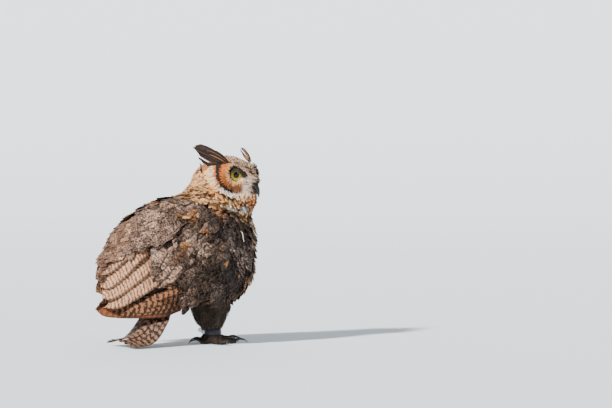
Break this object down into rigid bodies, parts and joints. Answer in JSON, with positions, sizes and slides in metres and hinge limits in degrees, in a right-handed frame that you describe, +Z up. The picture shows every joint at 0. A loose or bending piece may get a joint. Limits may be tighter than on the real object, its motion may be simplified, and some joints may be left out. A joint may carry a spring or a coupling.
{
  "type": "great horned owl",
  "caption": "Life-size great horned owl standing with folded wings, head turned to its right, raised ear tufts and leather anklets.",
  "frame": {"origin": "middle of the owl's bounding box, on the floor that its toes and tail rest on", "axes": "+Z up, +X the way the body heads, +Y to the owl's left"},
  "size_m": [0.3738, 0.1972, 0.4184],
  "materials": {
    "plumage_brown": "matte feathers, mottled dark brown",
    "plumage_buff": "matte feathers, barred buff",
    "plumage_rufous": "matte feathers, barred red-brown",
    "tuft_dark": "matte blackish feathers",
    "eye": "clear gloss over a yellow iris",
    "bill": "satin dark horn",
    "claw": "satin black horn",
    "leather": "dark blue-black leather",
    "steel": "plain metal"
  },
  "bodies": {
    "root": {"head": "plumage_buff", "left_anklet": "leather", "left_ear_tuft": "tuft_dark", "left_eye": "eye", "left_foot": "plumage_buff", "left_grommet": "steel", "left_hind_claw": "claw", "left_inner_claw": "claw", "left_leg": "plumage_buff", "left_middle_claw": "claw", "left_outer_claw": "claw", "left_primaries": "plumage_rufous", "left_secondaries": "plumage_buff", "left_wing": "plumage_brown", "lower_bill": "bill", "neck": "plumage_buff", "right_anklet": "leather", "right_ear_tuft": "tuft_dark", "right_eye": "eye", "right_foot": "plumage_buff", "right_grommet": "steel", "right_hind_claw": "claw", "right_inner_claw": "claw", "right_leg": "plumage_buff", "right_middle_claw": "claw", "right_outer_claw": "claw", "right_primaries": "plumage_rufous", "right_secondaries": "plumage_buff", "right_wing": "plumage_brown", "tail": "plumage_buff", "trunk": "plumage_brown", "upper_bill": "bill"}
  },
  "joints": []
}
